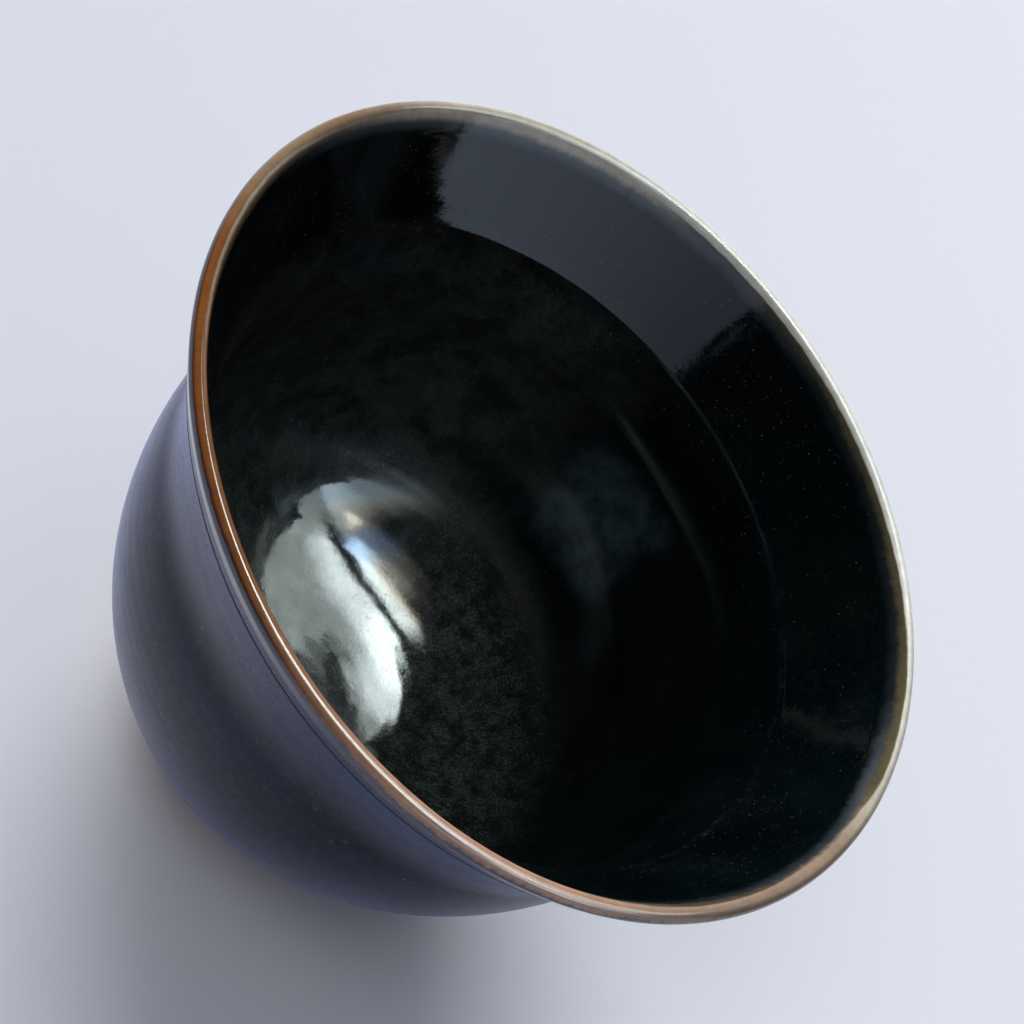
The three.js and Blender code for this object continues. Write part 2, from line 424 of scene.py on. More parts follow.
def turned_mesh(name, radius, height, closed, run=None):
    """Mesh of rows of points around the axis, from arrays of radius and height, rows by segments.

    A row on the axis becomes one point. The last row joins the first where closed is true. Faces point
    outwards. run is kept as a point attribute.
    """
    rows, segments = radius.shape
    theta = np.linspace(0, FULL_TURN, segments, endpoint=False)
    pole = radius.max(axis=1) < ON_POLE
    keep = np.ones((rows, segments), bool)
    keep[pole, 1:] = False
    index = np.cumsum(keep.ravel()).reshape(rows, segments) - 1
    index[pole] = index[pole, :1]
    points = np.stack([radius * np.cos(theta), radius * np.sin(theta), height], axis=-1)[keep]
    mesh = filled_mesh(name, points, *facing_out(points, *turned_faces(index, closed)))
    mesh.shade_smooth()
    mesh.set_sharp_from_angle(angle=SHARP_ANGLE)
    if run is not None:
        attribute = mesh.attributes.new("run", "FLOAT", "POINT")
        attribute.data.foreach_set("value", run[keep].astype(np.float32))
    return mesh


def place_piece(mesh, material, node):
    """Puts a finished mesh into the scene as a piece that rides on the bowl and stands for its solid."""
    piece = bpy.data.objects.new(mesh.name, mesh)
    bpy.context.scene.collection.objects.link(piece)
    mesh.materials.append(material)
    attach(piece, "root")
    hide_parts(node)


def grids(along, segments):
    """Distances and angles as two arrays, rows by segments."""
    theta = np.linspace(0, FULL_TURN, segments, endpoint=False)
    return np.meshgrid(along, theta, indexing="ij")


WALL_STEP = 2 * MM
LIP_STEP = 0.3 * MM
EDGE_FADE = 0.5 * MM
ON_AXIS = 1e-7
SAME_PLACE = 1e-8


def merged(*runs, digits=8):
    """Several runs of distances as one, in order, each value once."""
    return np.unique(np.round(np.concatenate(runs), digits))


def core_rows(skin, first, last):
    """Distances at which the clay's face has a row, shared by the clay and the backs of the coats."""
    outer, inner = skin.coat_edges()
    line = skin.glaze_line()
    rows = merged(
        spaced(0, line, LIP_STEP),
        spaced(line, outer, WALL_STEP),
        spaced(outer, inner, LIP_STEP),
        spaced(inner, skin.end, WALL_STEP),
        digits=9,
    )
    return rows[(rows >= first - SAME_PLACE) & (rows <= last + SAME_PLACE)]


def edge_fade(along, first, last, end):
    """Lets relief die out just before a coat's edge, but not at the middle of the floor."""
    fade = np.clip((along - first) / EDGE_FADE, 0, 1)
    if last < end - ON_AXIS:
        fade = fade * np.clip((last - along) / EDGE_FADE, 0, 1)
    return fade


def coat_mesh(name, skin, marks, front, first, last):
    """Closed mesh of a coat: its front, and behind it the clay's face between two distances.

    front holds the front's distances, angles, radii and heights.
    """
    along, theta, radius, height = front
    back, back_theta = grids(core_rows(skin, first, last)[::-1], skin.shape.segments)
    back_radius, back_height = skin.behind(back, skin.shape.glaze)
    radius, height = settle(radius, height, theta, skin.shape, marks)
    back_radius, back_height = settle(back_radius, back_height, back_theta, skin.shape, marks)
    radius = np.vstack([radius, back_radius])
    radius = np.where(radius < ON_AXIS, 0, radius)
    height = np.vstack([height, back_height])
    run = skin.crest - np.vstack([along, back])
    return turned_mesh(name, radius, height, closed=True, run=run)


def even_coat(name, skin, marks, first, last, step, relief):
    """Mesh of a coat of even thickness between two distances, with relief on its front."""
    along, theta = grids(spaced(first, last, step), skin.shape.segments)
    radius, height = skin.at(along)
    out, up = skin.normal_at(along)
    lift = relief(along, theta, height) * edge_fade(along, first, last, skin.end)
    radius = np.where(radius > 0, radius + lift * out, 0)
    return coat_mesh(name, skin, marks, (along, theta, radius, height + lift * up), first, last)


# Shader nodes


class Tree:
    """Adds nodes to a node tree. An input is given as a value or as another node's output."""

    def __init__(self, tree):
        self.tree = tree

    def feed(self, socket, value):
        """Links an output to a socket, or sets the socket to a value."""
        if isinstance(value, bpy.types.NodeSocket):
            self.tree.links.new(value, socket)
        else:
            socket.default_value = value

    def add(self, kind, inputs=None, **settings):
        """A node of a kind with its settings, and its inputs by name or by place."""
        node = self.tree.nodes.new(kind)
        for name, value in settings.items():
            setattr(node, name, value)
        for key, value in (inputs or {}).items():
            self.feed(node.inputs[key], value)
        return node

    def math(self, operation, first, second=0.0, clamp=False):
        """One step of arithmetic."""
        inputs = {0: first, 1: second}
        return self.add("ShaderNodeMath", inputs, operation=operation, use_clamp=clamp).outputs[0]

    def plus(self, *values):
        """All the values added."""
        result = values[0]
        for value in values[1:]:
            result = self.math("ADD", result, value)
        return result

    def minus(self, first, second):
        """The second value taken from the first."""
        return self.math("SUBTRACT", first, second)

    def product(self, *values):
        """All the values multiplied."""
        result = values[0]
        for value in values[1:]:
            result = self.math("MULTIPLY", result, value)
        return result

    def step(self, value, low, high):
        """0 below low, 1 above high, smooth between."""
        inputs = {"Value": value, "From Min": low, "From Max": high}
        return self.add("ShaderNodeMapRange", inputs, interpolation_type="SMOOTHSTEP").outputs["Result"]

    def fade(self, value, low, high):
        """1 below low, 0 above high, smooth between."""
        inputs = {"Value": value, "From Min": low, "From Max": high, "To Min": 1.0, "To Max": 0.0}
        return self.add("ShaderNodeMapRange", inputs, interpolation_type="SMOOTHSTEP").outputs["Result"]

    def run(self):
        """Distance along the surface from the top of the lip, in metres: + outside, - inside."""
        return self.add("ShaderNodeAttribute", attribute_name="run").outputs["Fac"]

    def darker(self, tone, amount):
        """A colour scaled down evenly."""
        scaled = self.add("ShaderNodeVectorMath", {0: tone}, operation="SCALE")
        scaled.inputs["Scale"].default_value = amount
        return scaled.outputs[0]

    def blend(self, factor, first, second):
        """Mixes two colours."""
        node = self.add("ShaderNodeMix", {0: factor}, data_type="RGBA")
        for key, tone in ((6, first), (7, second)):
            self.feed(node.inputs[key], tone if isinstance(tone, bpy.types.NodeSocket) else (*tone, 1))
        return node.outputs[2]

    def laid(self, base, tone, *masks):
        """A tone laid over a base, as strongly as the product of the masks says."""
        return self.blend(self.product(*masks), base, tone)

    def between(self, factor, first, second):
        """Mixes two numbers."""
        return self.add("ShaderNodeMix", {0: factor, 2: first, 3: second}, data_type="FLOAT").outputs[0]

    def noise(self, where, scale, detail=3.0, rough=0.5):
        """Fractal noise between 0 and 1, with scale cells to the metre."""
        inputs = {"Vector": where, "Scale": scale, "Detail": detail, "Roughness": rough}
        return self.add("ShaderNodeTexNoise", inputs).outputs["Fac"]

    def drift(self, where, scale, detail=3.0, rough=0.5, reach=1.0):
        """The same noise about 0, from minus half to half of reach."""
        centred = self.minus(self.noise(where, scale, detail, rough), 0.5)
        return self.product(centred, reach)

    def stretched(self, where, scale):
        """Coordinates stretched by a scale for each axis."""
        return self.add("ShaderNodeMapping", {"Vector": where, "Scale": scale}).outputs[0]

    def cells(self, where, scale):
        """Distance to the nearest cell point, and a random colour for each cell."""
        node = self.add("ShaderNodeTexVoronoi", {"Vector": where, "Scale": scale})
        return node.outputs["Distance"], node.outputs["Color"]

    def place(self):
        """Object coordinates, in metres."""
        return self.add("ShaderNodeTexCoord").outputs["Object"]

    def parts(self, vector):
        """The three numbers of a vector or colour."""
        return self.add("ShaderNodeSeparateXYZ", {0: vector}).outputs

    def group(self, group, **inputs):
        """Places a node group and gives its outputs. An input's name has _ for a space."""
        node = self.tree.nodes.new("ShaderNodeGroup")
        node.node_tree = group
        for key, value in inputs.items():
            self.feed(node.inputs[key.replace("_", " ")], value)
        return node.outputs

    def around(self, stops):
        """A colour that changes with the angle about the axis, from pairs of degrees and colour."""
        x, y, _ = self.parts(self.place())
        turn = self.math("DIVIDE", self.math("ARCTAN2", y, x), FULL_TURN)
        ramp = self.add("ShaderNodeValToRGB", {0: self.plus(turn, 0.5)})
        elements = ramp.color_ramp.elements
        for degrees, _ in stops[1:-1]:
            elements.new(degrees / 360 + 0.5)
        for element, (degrees, tone) in zip(elements, stops):
            element.position = degrees / 360 + 0.5
            element.color = (*tone, 1)
        return ramp.outputs["Color"]

    def amount_around(self, stops, largest=1.0):
        """A number up to largest that changes with the angle, from pairs of degrees and number."""
        shares = [(degrees, (amount / largest,) * 3) for degrees, amount in stops]
        return self.product(self.parts(self.around(shares))[0], largest)

    def strip(self, value, start, full, fading, gone):
        """Rises smoothly from 0 at start to 1 at full, and falls from 1 at fading to 0 at gone."""
        return self.product(self.step(value, start, full), self.fade(value, fading, gone))


def new_group(name, inputs, outputs):
    """An empty shader node group with named number inputs, its tree and its two ends.

    An output whose name ends in Colour carries a colour, any other a number.
    """
    group = bpy.data.node_groups.new(name, "ShaderNodeTree")
    for key, default in inputs.items():
        socket = group.interface.new_socket(key, in_out="INPUT", socket_type="NodeSocketFloat")
        socket.default_value = default
    for key in outputs:
        kind = "NodeSocketColor" if key.endswith("Colour") else "NodeSocketFloat"
        group.interface.new_socket(key, in_out="OUTPUT", socket_type=kind)
    start = group.nodes.new("NodeGroupInput").outputs
    end = group.nodes.new("NodeGroupOutput").inputs
    return group, Tree(group), start, end


def built_once(build):
    """Keeps the node group that a function builds, so that every material shares it."""
    kept = {}

    def group(*colours):
        if build not in kept:
            kept[build] = build(*colours)
        return kept[build]

    return group


@built_once
def speck_group():
    """Pin-points: small discs around the points of random cells, of which only a share show."""
    inputs = {"Scale": 900, "Radius": 0.2, "Share": 0.3}
    group, tree, start, end = new_group("Glaze specks", inputs, ["Mask"])
    distance, pick = tree.cells(tree.place(), start["Scale"])
    chosen, large, strong = tree.parts(pick)
    chosen = tree.math("LESS_THAN", chosen, start["Share"])
    size = tree.product(start["Radius"], tree.plus(large, 0.35))
    disc = tree.fade(distance, tree.product(size, 0.5), size)
    strength = tree.plus(tree.product(tree.math("POWER", strong, 2.0), 0.85), 0.15)
    tree.feed(end["Mask"], tree.product(disc, chosen, strength))
    return group


# Around the lip: degrees about the axis, from +x towards +y, each with a tone, a share or millimetres

CREST_TONES = (
    (-180, "amber"), (-165, "amber"), (-150, "rust"), (-105, "rust"), (-88, "rosy"), (-72, "rose"),
    (-48, "rose"), (-30, "sand"), (0, "sand"), (14, "straw"), (48, "cream_with_highlight"), (112, "cream_with_highlight"),
    (136, "straw"), (156, "straw"), (170, "sand"), (180, "amber"),
)
INNER_TONES = (
    (-180, "sand"), (-166, "amber"), (-150, "amber"), (-136, "rust"), (-66, "rust"), (-44, "sand"),
    (-30, "dull"), (-14, "dull"), (0, "sand"), (12, "olive"), (98, "olive"), (112, "dull"),
    (122, "straw"), (136, "pale"), (164, "pale"), (180, "sand"),
)
CREST_WIDTH = (
    (-180, 1.1), (-165, 0.5), (-120, 0.4), (-60, 0.9), (-45, 1.1), (-30, 0.9), (-15, 1.25), (0, 1.8),
    (14, 0.5), (30, 0.6), (45, 0.95), (60, 1.35), (78, 1.5), (104, 1.95), (120, 1.85), (136, 1.3),
    (150, 0.9), (165, 0.9), (180, 1.1),
)
# Painted highlight: how strongly a pale band between crest and inner band stands in for the window's
# highlight along the lip.
PAINTED_HIGHLIGHT_SHARE = ((-180, 0.5), (-166, 0.75), (-140, 0.5), (-120, 0.1), (150, 0.0), (180, 0.5))
DARK_EDGE_SHARE = (
    (-180, 0.2), (-160, 0.3), (-142, 1.0), (-104, 1.0), (-84, 0.3), (-50, 0.0), (160, 0.0), (180, 0.2),
)
INSIDE_REACH = (
    (-180, 1.9), (-165, 2.1), (-150, 2.7), (-135, 2.4), (-60, 2.4), (-30, 2.8), (-14, 2.2), (0, 1.9),
    (16, 2.3), (45, 2.2), (75, 2.7), (105, 2.5), (135, 2.9), (150, 2.6), (165, 2.4), (180, 1.9),
)
OUTSIDE_REACH = ((-180, 1.4), (-120, 1.3), (-86, 1.55), (-60, 1.55), (-30, 1.4), (180, 1.4))
MILKY_SHARE = (
    (-180, 0.55), (-165, 0.0), (-30, 0.1), (0, 0.25), (15, 0.5), (30, 0.1), (80, 0.1), (105, 0.5),
    (120, 0.9), (150, 0.95), (165, 0.75), (180, 0.55),
)
RAGGED_SHARE = ((-180, 0.3), (-150, 0.5), (-125, 1.0), (125, 1.0), (150, 0.5), (165, 0.3), (180, 0.3))
DULLNESS = ((-180, 0.0), (-30, 0.04), (25, 0.28), (115, 0.28), (150, 0.08), (180, 0.0))


def lip_palette(colours):
    """The lip's tones by name: those of the settings, and three that are made from them."""
    names = ("amber", "rust", "rose", "sand", "straw", "cream_with_highlight", "olive")
    tones = {name: tuple(getattr(colours, name)) for name in names}
    tones["rosy"] = tuple(0.5 * (rose + rust) for rose, rust in zip(colours.rose, colours.rust))
    tones["pale"] = tuple(1.35 * value for value in colours.straw)
    tones["dull"] = tuple(0.33 * value for value in colours.sand)
    return tones


def tones_around(tree, tones, stops):
    """A colour around the lip, from pairs of degrees and the name of a tone."""
    return tree.around([(degrees, tones[name]) for degrees, name in stops])


def lip_tones(tree, colours, run):
    """Colour of the lip coat: its crest, the band inside, a pale painted highlight between, and a dark
    outer edge.
    """
    tones = lip_palette(colours)
    place = tree.place()
    crest = tones_around(tree, tones, CREST_TONES)
    inner = tones_around(tree, tones, INNER_TONES)
    wander = tree.product(tree.noise(place, 300), 0.4)
    border = tree.plus(run, wander, tree.minus(tree.amount_around(CREST_WIDTH, 2.0), 0.2))
    tone = tree.blend(tree.step(border, -0.15, 0.2), inner, crest)
    # Painted highlight: a pale straw band along the border, standing in for the window's highlight on the
    # lip.
    painted_highlight_stripe = tree.product(tree.strip(border, -0.35, -0.05, 0.1, 0.45), tree.amount_around(PAINTED_HIGHLIGHT_SHARE))
    tone = tree.laid(tone, colours.straw, painted_highlight_stripe, tree.plus(wander, 0.75))
    dark_edge = tree.product(tree.step(run, 0.75, 1.35), tree.amount_around(DARK_EDGE_SHARE))
    tone = tree.laid(tone, colours.umber, dark_edge, 0.9)
    mottle = tree.step(tree.noise(place, 520, 4, 0.6), 0.3, 0.75)
    return tree.laid(tone, tree.darker(tone, 0.5), mottle, 0.42)


@built_once
def lip_group(colours):
    """How the coats meet around the lip, from the distance along the surface and the angle about the axis.

    Cover is 1 on the lip and frays out down each side, Fringe is the milky band beyond it, and Lip Colour
    goes from rust over rose, sand and cream to straw and amber around the bowl; the cream is partly painted
    highlight, and a painted highlight band runs along the lip.
    """
    group, tree, start, end = new_group("Lip run", {"Fray": 1}, ["Cover", "Fringe", "Lip Colour"])
    run = tree.product(tree.run(), 1 / MM)
    place = tree.place()
    streaks = tree.noise(tree.stretched(place, (1, 1, 0.6)), 800, 4, 0.6)
    clouds = tree.product(tree.noise(place, 140, 2), 0.8)
    uneven = tree.minus(tree.plus(streaks, clouds), 0.9)
    fray = tree.product(uneven, tree.amount_around(RAGGED_SHARE), start["Fray"])
    inward = tree.minus(tree.minus(fray, run), tree.amount_around(INSIDE_REACH, 4.0))
    outward = tree.plus(tree.minus(run, tree.amount_around(OUTSIDE_REACH, 2.0)), fray)
    cover = tree.product(tree.fade(inward, -0.8, 0.55), tree.fade(outward, -0.35, 0.35))
    within = tree.product(tree.strip(inward, -0.9, 0.1, 0.2, 2.4), tree.amount_around(MILKY_SHARE))
    without = tree.product(tree.strip(outward, -0.2, 0.3, 0.3, 1.5), 0.3)
    tree.feed(end["Cover"], cover)
    tree.feed(end["Fringe"], tree.plus(within, without))
    tree.feed(end["Lip Colour"], lip_tones(tree, colours, run))
    return group


@built_once
def relief_group():
    """Height of a glazed surface: slow waves, orange peel and sunk pits."""
    group, tree, start, end = new_group("Glaze relief", {"Waves": 1, "Peel": 1, "Pits": 1}, ["Height"])
    place = tree.place()
    waves = tree.product(tree.noise(place, 130, 2), start["Waves"])
    peel = tree.product(tree.noise(place, 1300, 2), start["Peel"], 0.06)
    distance, pick = tree.cells(place, 260)
    chosen = tree.math("LESS_THAN", tree.parts(pick)[0], 0.08)
    pit = tree.product(tree.fade(distance, 0.02, 0.11), chosen, start["Pits"], 0.5)
    tree.feed(end["Height"], tree.minus(tree.plus(waves, peel), pit))
    return group


@built_once
def dust_group():
    """Dust: clumps of coarse and fine grains, which lie thicker on surfaces that face up."""
    group, tree, start, end = new_group("Settled dust", {"Cover": 0.5, "Settled": 0.5}, ["Mask"])
    place = tree.place()
    up = tree.parts(tree.add("ShaderNodeNewGeometry").outputs["Normal"])[2]
    lying = tree.between(start["Settled"], 1, tree.step(up, -0.1, 1.0))
    clumps = tree.step(tree.noise(place, 95, 4, 0.6), 0.36, 0.74)
    fine = tree.step(tree.noise(place, 2400, 2, 0.7), 0.5, 0.76)
    coarse = tree.step(tree.noise(place, 700, 3, 0.7), 0.42, 0.7)
    grains = tree.product(tree.plus(fine, 0.25), tree.plus(coarse, 0.3))
    tree.feed(end["Mask"], tree.product(clumps, lying, start["Cover"], grains))
    return group


@built_once
def grit_group():
    """Bare clay: clouds of iron, coarse grit and fine turning lines, as masks and a height."""
    group, tree, start, end = new_group("Clay grit", {"Grit": 1}, ["Clouds", "Specks", "Height"])
    place = tree.place()
    distance, pick = tree.cells(place, 1100)
    chosen = tree.math("LESS_THAN", tree.parts(pick)[0], 0.22)
    lines = tree.noise(tree.stretched(place, (0.2, 0.2, 3)), 900, 3)
    grain = tree.noise(place, 3200, 3, 0.7)
    tree.feed(end["Clouds"], tree.step(tree.noise(place, 140, 4, 0.6), 0.35, 0.7))
    tree.feed(end["Specks"], tree.product(tree.fade(distance, 0.1, 0.34), chosen))
    tree.feed(end["Height"], tree.plus(tree.product(grain, start["Grit"]), tree.product(lines, 0.7)))
    return group


def new_material(name, roughness, ior):
    """A material with an empty tree but its shader, with the values that are the same all over."""
    material = bpy.data.materials.new(name)
    material.use_nodes = True
    tree = Tree(material.node_tree)
    shader = material.node_tree.nodes["Principled BSDF"]
    shader.inputs["Roughness"].default_value = roughness
    shader.inputs["IOR"].default_value = ior
    return material, tree, shader


def bumped(tree, height, strength, distance):
    """A normal bent by a height."""
    inputs = {"Height": height, "Strength": strength, "Distance": distance}
    return tree.add("ShaderNodeBump", inputs).outputs["Normal"]


INNER_IOR = 1.6
OUTER_IOR = 1.5
RIDGE_HEIGHT = LIP_BOX[1].z - 17.1 * MM


def over_the_lip(tree, colours, beyond):
    """The lip coat and its milky fringe laid over the glaze beyond: the colour, and where the coat is."""
    lip = tree.group(lip_group(colours), Fray=1.4)
    milky = tree.laid(beyond, colours.fringe, lip["Fringe"], 0.7)
    return tree.blend(lip["Cover"], milky, lip["Lip Colour"]), lip["Cover"]


def wear_marks(tree, place, grain):
    """Fine upright streaks all over, and scuffs in a few places where coarse noise is high."""
    streaks = tree.step(tree.noise(tree.stretched(place, (1, 1, 0.35)), 950, 3, 0.7), 0.5, 0.75)
    scuffs = tree.step(tree.noise(place, 110, 6, 0.8), 0.58, 0.7)
    return tree.plus(tree.product(streaks, 0.16), tree.product(scuffs, grain, 0.45))


def outer_colour(tree, colours, dust, specks):
    """Slate glaze in slow clouds, greyer on the flare, with mottling, wear marks, dust and specks."""
    place = tree.place()
    run = tree.run()
    clouds = tree.step(tree.noise(tree.stretched(place, (1, 1, 1.6)), 38, 4, 0.55), 0.36, 0.68)
    base = tree.blend(clouds, colours.slate_dark, colours.slate)
    flare = tree.strip(run, 9.0 * MM, 9.6 * MM, 19.5 * MM, 22.5 * MM)
    rim = tree.fade(run, 8.6 * MM, 9.0 * MM)
    base = tree.laid(base, colours.slate_grey, tree.plus(tree.product(flare, 0.3), tree.product(rim, 0.05)))
    grain = tree.step(tree.noise(place, 1500, 3, 0.7), 0.5, 0.8)
    base = tree.laid(base, colours.slate_grey, grain, 0.3)
    mottle = tree.step(tree.noise(place, 420, 4, 0.7), 0.5, 0.72)
    base = tree.laid(base, colours.slate_grey, mottle, 0.42)
    worn = tuple(3 * value for value in colours.slate_grey)
    base = tree.laid(base, worn, wear_marks(tree, place, grain))
    base = tree.laid(base, colours.dust, dust["Mask"], 0.4)
    return tree.laid(base, colours.speck, specks["Mask"], 0.5)


def ridge_line(tree, place, x):
    """A worn line along the ridge inside, from the height, broken up by noise, strongest on one side."""
    wander = tree.drift(place, 160, reach=1.2 * MM)
    offset = tree.math("ABSOLUTE", tree.minus(tree.plus(tree.parts(place)[2], wander), RIDGE_HEIGHT))
    broken = tree.step(tree.noise(place, 520, 4, 0.75), 0.45, 0.7)
    side = tree.plus(tree.fade(x, -40 * MM, -15 * MM), tree.product(tree.step(x, 0, 20 * MM), 0.7))
    return tree.product(tree.fade(offset, 0.1 * MM, 0.9 * MM), broken, side, 0.36)


def well_dust(tree, place, z):
    """Fine grains that settled in the well: fine noise past a threshold, clumped, thinning out upwards."""
    well = tree.fade(z, 14 * MM, 30 * MM)
    grains = tree.step(tree.noise(place, 2600, 3, 0.75), 0.47, 0.68)
    clumps = tree.step(tree.noise(place, 330, 4, 0.7), 0.36, 0.66)
    return tree.product(tree.plus(grains, 0.3), tree.plus(clumps, 0.3), well, 0.46)


def dust_and_painted_light(tree, place, x, z):
    """A film of dust below the ridge inside, painted on one side of the wall only, the side that the window
    lights, so it is partly painted light: in soft clouds with fine grain.
    """
    # Painted light: the dust shows only on the side of the wall that the window lights.
    side = tree.strip(x, 5 * MM, -30 * MM, -60 * MM, -70 * MM)
    level = tree.fade(z, 66 * MM, 74 * MM)
    clouds = tree.step(tree.noise(place, 170, 4, 0.65), 0.3, 0.7)
    grain = tree.noise(place, 1600, 3, 0.7)
    return tree.product(side, level, tree.plus(clouds, 0.35), grain, 0.42)


def painted_reflection_patch(tree, place, x, y, z):
    """Painted reflection: a faint milky patch on the far wall inside, standing in for a dim second
    reflection of the window, a few centimetres wide, soft edged and mottled.
    """
    bend = tree.drift(place, 90, 4, 0.6, reach=9 * MM)
    across = tree.strip(tree.plus(x, bend), -6 * MM, 0.0, 11 * MM, 18 * MM)
    level = tree.strip(tree.plus(z, bend), 30 * MM, 36 * MM, 50 * MM, 57 * MM)
    mottle = tree.step(tree.noise(place, 260, 4, 0.7), 0.3, 0.7)
    return tree.product(across, level, tree.step(y, 0.0, 20 * MM), tree.plus(mottle, 0.5), 0.42)


def inner_colour(tree, colours, dust, specks):
    """Near-black green glaze in clouds, with specks, dust, a painted reflection patch and a worn line on
    the ridge; the dust on one wall and the specks are painted stronger on the side that the window lights.
    """
    place = tree.place()
    x, y, z = tree.parts(place)
    clouds = tree.step(tree.noise(place, 60, 4, 0.6), 0.35, 0.7)
    base = tree.blend(clouds, colours.black, colours.black_green)
    base = tree.laid(base, colours.dust, dust["Mask"], 0.12)
    base = tree.laid(base, colours.dust, well_dust(tree, place, z))
    # Dust and painted light: dust laid only on the lit side of the wall.
    base = tree.laid(base, colours.dust, dust_and_painted_light(tree, place, x, z))
    # Painted reflection: a milky patch on the far wall that stands in for a dim second reflection of the
    # window.
    base = tree.laid(base, colours.painted_reflection, painted_reflection_patch(tree, place, x, y, z))
    thin_rust = tuple(0.6 * value for value in colours.rust)
    worn = tree.blend(tree.step(x, -20 * MM, 30 * MM), thin_rust, colours.slate_grey)
    base = tree.laid(base, worn, ridge_line(tree, place, x))
    # Specks stronger higher up; they are also painted stronger on the side that the window lights and
    # fainter on the shaded side, so this is partly painted light.
    flare = tree.plus(tree.step(z, 60 * MM, 68 * MM), 0.5)
    side = tree.between(tree.step(x, -10 * MM, 45 * MM), 0.5, 0.15)
    return tree.laid(base, colours.speck, specks["Mask"], tree.product(flare, side))


def glaze_material(name, colours, colour_of, ior, dust, specks, shine_of):
    """Material of a dark coat, with the lip's colours at its edge.

    colour_of and shine_of give its colour and roughness, dust and specks are the values for those groups.
    """
    material, tree, shader = new_material(name, 0.12, ior)
    dust = tree.group(dust_group(), **dust)
    specks = tree.group(speck_group(), **specks)
    relief = tree.group(relief_group(), Waves=0.6, Peel=2.0, Pits=1.0)
    base, cover = over_the_lip(tree, colours, colour_of(tree, colours, dust, specks))
    rough = tree.plus(shine_of(tree, tree.place()), tree.product(dust["Mask"], 0.5))
    tree.feed(shader.inputs["Base Color"], base)
    tree.feed(shader.inputs["Roughness"], tree.between(cover, rough, 0.16))
    height = tree.plus(relief["Height"], tree.product(dust["Mask"], 0.03))
    tree.feed(shader.inputs["Normal"], bumped(tree, height, 0.5, 0.1 * MM))
    return material, shader


def inner_shine(tree, place):
    """Roughness inside: glossy, duller in a ring around the well and on the near half."""
    _, y, z = tree.parts(place)
    ring = tree.product(tree.strip(z, 20 * MM, 23 * MM, 28 * MM, 34 * MM), 0.14)
    near = tree.product(tree.fade(y, -14 * MM, -4 * MM), 0.1)
    return tree.plus(tree.between(tree.noise(place, 220), 0.03, 0.08), ring, near)


def outer_shine(tree, place):
    """Roughness outside: satin, a little uneven."""
    return tree.between(tree.noise(place, 150), 0.2, 0.3)


def inner_material(colours):
    """Glossy black glaze of the inside."""
    dust = {"Cover": 0.6, "Settled": 0.6}
    specks = {"Scale": 1500.0, "Radius": 0.2, "Share": 0.5}
    name = "Black inner glaze"
    return glaze_material(name, colours, inner_colour, INNER_IOR, dust, specks, inner_shine)[0]


def outer_material(colours):
    """Satin slate glaze of the outside, with a bluish sheen where it turns away."""
    dust = {"Cover": 0.35, "Settled": 0.0}
    specks = {"Scale": 480.0, "Radius": 0.2, "Share": 0.5}
    name = "Slate outer glaze"
    material, shader = glaze_material(name, colours, outer_colour, OUTER_IOR, dust, specks, outer_shine)
    shader.inputs["Specular IOR Level"].default_value = 0.17
    shader.inputs["Sheen Weight"].default_value = 0.22
    shader.inputs["Sheen Roughness"].default_value = 0.3
    shader.inputs["Sheen Tint"].default_value = (0.36, 0.46, 1.0, 1)
    return material


def lip_material(colours):
    """Thin brown coat over the lip, rust on one side, olive to cream and a little duller on the other; the
    cream and a pale band along the lip are partly painted highlight.
    """
    material, tree, shader = new_material("Brown lip glaze", 0.16, INNER_IOR)
    relief = tree.group(relief_group(), Waves=0.8, Peel=1.5, Pits=0.6)
    specks = tree.group(speck_group(), Scale=900.0, Radius=0.2, Share=0.3)
    outside = tree.step(tree.run(), -0.2 * MM, 0.2 * MM)
    base, _ = over_the_lip(tree, colours, tree.blend(outside, colours.black_green, colours.slate))
    base = tree.laid(base, colours.speck, specks["Mask"], 0.15)
    duller = tree.product(tree.amount_around(DULLNESS), tree.step(tree.run(), -1.0 * MM, -0.3 * MM))
    rough = tree.plus(tree.between(tree.noise(tree.place(), 500), 0.04, 0.11), duller)
    tree.feed(shader.inputs["Base Color"], base)
    tree.feed(shader.inputs["Roughness"], rough)
    tree.feed(shader.inputs["Normal"], bumped(tree, relief["Height"], 0.5, 0.1 * MM))
    return material


def clay_material(name, colours, dark_share):
    """Bare stoneware: brown clouds, iron specks, grit and turning lines."""
    material, tree, shader = new_material(name, 0.85, 1.45)
    grit = tree.group(grit_group(), Grit=1.0)
    base = tree.laid(colours.clay, colours.clay_dark, grit["Clouds"], dark_share)
    base = tree.laid(base, colours.umber, grit["Specks"], 0.8)
    tree.feed(shader.inputs["Base Color"], base)
    tree.feed(shader.inputs["Roughness"], tree.between(grit["Clouds"], 0.72, 0.92))
    tree.feed(shader.inputs["Normal"], bumped(tree, grit["Height"], 0.7, 0.12 * MM))
    return material


# Pieces


UNDERSIDE_STEP = 0.5 * MM
TURNING_PITCH = 0.9 * MM
TURNING_DEPTH = 0.03 * MM
SWIRL_PITCH = 1.7 * MM
SWIRL_DEPTH = 0.12 * MM
SWIRL_FADE = 2 * MM


def underside(skin, edge):
    """Rows of the underside from the axis out to its edge, with a turned swirl inside the foot ring."""
    shape = skin.shape
    radius, theta = grids(spaced(0, edge, UNDERSIDE_STEP), shape.segments)
    recess = np.clip((shape.foot_radius - shape.foot_width - radius) / SWIRL_FADE, 0, 1)
    swirl = 0.5 + 0.5 * np.sin(FULL_TURN * radius / SWIRL_PITCH - theta)
    middle = np.clip(radius / SWIRL_FADE, 0, 1)
    return radius, shape.foot_height + SWIRL_DEPTH * swirl * recess * middle, theta


